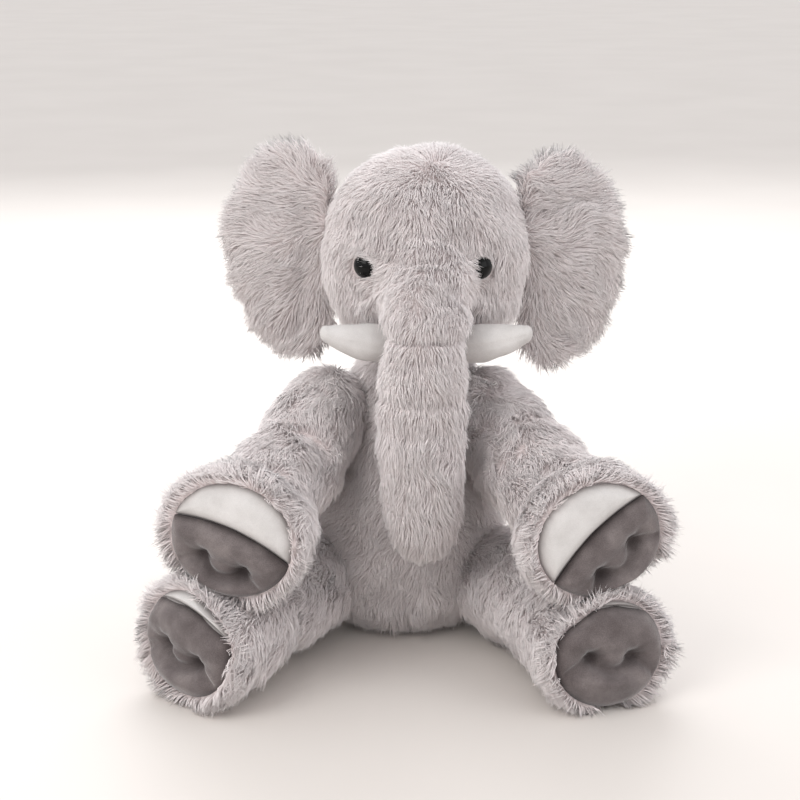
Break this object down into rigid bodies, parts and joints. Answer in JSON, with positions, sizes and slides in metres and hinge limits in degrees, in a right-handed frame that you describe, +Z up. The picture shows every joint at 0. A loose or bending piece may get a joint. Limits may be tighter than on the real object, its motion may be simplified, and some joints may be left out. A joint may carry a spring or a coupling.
{
  "type": "stuffed elephant",
  "caption": "Seated plush elephant with long grey fur, floppy ears, a hanging trunk, soft white tusks and padded two-tone soles.",
  "frame": {"origin": "middle of the flat seat under the torso, on the surface that the toy sits on", "axes": "+Z up, -Y towards the face and the soles, +X towards the elephant's own left side"},
  "size_m": [0.4261, 0.3587, 0.4217],
  "materials": {
    "grey_pile_fabric": "long soft pile, brushed, matte",
    "white_short_nap": "short dense nap, matte",
    "dark_short_nap": "short brushed nap with a faint sheen",
    "polyester_fibre": "loose polyester fibre",
    "eye_plastic": "polished black dome",
    "washer_plastic": "moulded natural plastic",
    "sewing_thread": "twisted polyester thread"
  },
  "bodies": {
    "torso": {"torso_cover": "grey_pile_fabric", "torso_filling": "polyester_fibre"},
    "neck": {"neck_filling": "polyester_fibre"},
    "head": {"head_cover": "grey_pile_fabric", "head_filling": "polyester_fibre", "trunk_upper_cover": "grey_pile_fabric", "trunk_upper_filling": "polyester_fibre", "eye_left": "eye_plastic", "eye_right": "eye_plastic", "eye_washer_left": "washer_plastic", "eye_washer_right": "washer_plastic", "tusk_cover_left": "white_short_nap", "tusk_cover_right": "white_short_nap", "tusk_filling_left": "polyester_fibre", "tusk_filling_right": "polyester_fibre"},
    "trunk_middle": {"trunk_middle_cover": "grey_pile_fabric", "trunk_middle_filling": "polyester_fibre"},
    "trunk_lower": {"trunk_lower_cover": "grey_pile_fabric", "trunk_lower_filling": "polyester_fibre"},
    "ear_left": {"ear_front_panel_left": "grey_pile_fabric", "ear_wadding_left": "polyester_fibre", "ear_back_panel_left": "grey_pile_fabric"},
    "ear_right": {"ear_front_panel_right": "grey_pile_fabric", "ear_wadding_right": "polyester_fibre", "ear_back_panel_right": "grey_pile_fabric"},
    "arm_left": {"arm_left_cover": "grey_pile_fabric", "arm_left_filling": "polyester_fibre", "arm_left_toe_panel": "white_short_nap", "arm_left_sole_pad": "dark_short_nap", "arm_left_sculpting_thread": "sewing_thread"},
    "arm_right": {"arm_right_cover": "grey_pile_fabric", "arm_right_filling": "polyester_fibre", "arm_right_toe_panel": "white_short_nap", "arm_right_sole_pad": "dark_short_nap", "arm_right_sculpting_thread": "sewing_thread"},
    "leg_left": {"leg_left_cover": "grey_pile_fabric", "leg_left_filling": "polyester_fibre", "leg_left_toe_panel": "white_short_nap", "leg_left_sole_pad": "dark_short_nap", "leg_left_sculpting_thread": "sewing_thread"},
    "leg_right": {"leg_right_cover": "grey_pile_fabric", "leg_right_filling": "polyester_fibre", "leg_right_toe_panel": "white_short_nap", "leg_right_sole_pad": "dark_short_nap", "leg_right_sculpting_thread": "sewing_thread"},
    "tail": {"tail_stem": "grey_pile_fabric", "tail_tuft": "grey_pile_fabric"}
  },
  "joints": [
    {"name": "neck_turn", "type": "hinge", "parent": "torso", "child": "neck", "pos_m": [0.008, -0.002, 0.247], "axis": [0, 0, -1], "range_deg": [-7, 18]},
    {"name": "head_nod", "type": "hinge", "parent": "neck", "child": "head", "pos_m": [0.008, -0.002, 0.247], "axis": [-1, 0, 0], "range_deg": [-5, 18]},
    {"name": "trunk_middle_lift", "type": "hinge", "parent": "head", "child": "trunk_middle", "pos_m": [0.016, -0.112, 0.263], "axis": [-1, 0, 0], "range_deg": [0, 40], "stiffness_Nm_per_rad": 0.15},
    {"name": "trunk_lower_lift", "type": "hinge", "parent": "trunk_middle", "child": "trunk_lower", "pos_m": [0.014, -0.114, 0.212], "axis": [-1, 0, 0], "range_deg": [0, 40], "stiffness_Nm_per_rad": 0.1},
    {"name": "ear_left_flap", "type": "hinge", "parent": "head", "child": "ear_left", "pos_m": [0.111, 0.002, 0.323], "axis": [0, 0, -1], "range_deg": [-30, 45], "stiffness_Nm_per_rad": 0.03},
    {"name": "ear_right_flap", "type": "hinge", "parent": "head", "child": "ear_right", "pos_m": [-0.075, 0.002, 0.332], "axis": [0, 0, 1], "range_deg": [-30, 45], "stiffness_Nm_per_rad": 0.03},
    {"name": "arm_left_lift", "type": "hinge", "parent": "torso", "child": "arm_left", "pos_m": [0.069, -0.021, 0.197], "axis": [0, -1, 0], "range_deg": [0, 42]},
    {"name": "arm_right_lift", "type": "hinge", "parent": "torso", "child": "arm_right", "pos_m": [-0.068, -0.021, 0.197], "axis": [0, 1, 0], "range_deg": [0, 42]},
    {"name": "leg_left_splay", "type": "hinge", "parent": "torso", "child": "leg_left", "pos_m": [0.086, -0.046, 0.05], "axis": [0, 0, 1], "range_deg": [0, 20], "stiffness_Nm_per_rad": 0.3},
    {"name": "leg_right_splay", "type": "hinge", "parent": "torso", "child": "leg_right", "pos_m": [-0.086, -0.046, 0.05], "axis": [0, 0, -1], "range_deg": [0, 20], "stiffness_Nm_per_rad": 0.3},
    {"name": "tail_swing", "type": "hinge", "parent": "torso", "child": "tail", "pos_m": [0, 0.086, 0.066], "axis": [1, 0, 0], "range_deg": [-4, 50], "stiffness_Nm_per_rad": 0.01}
  ]
}
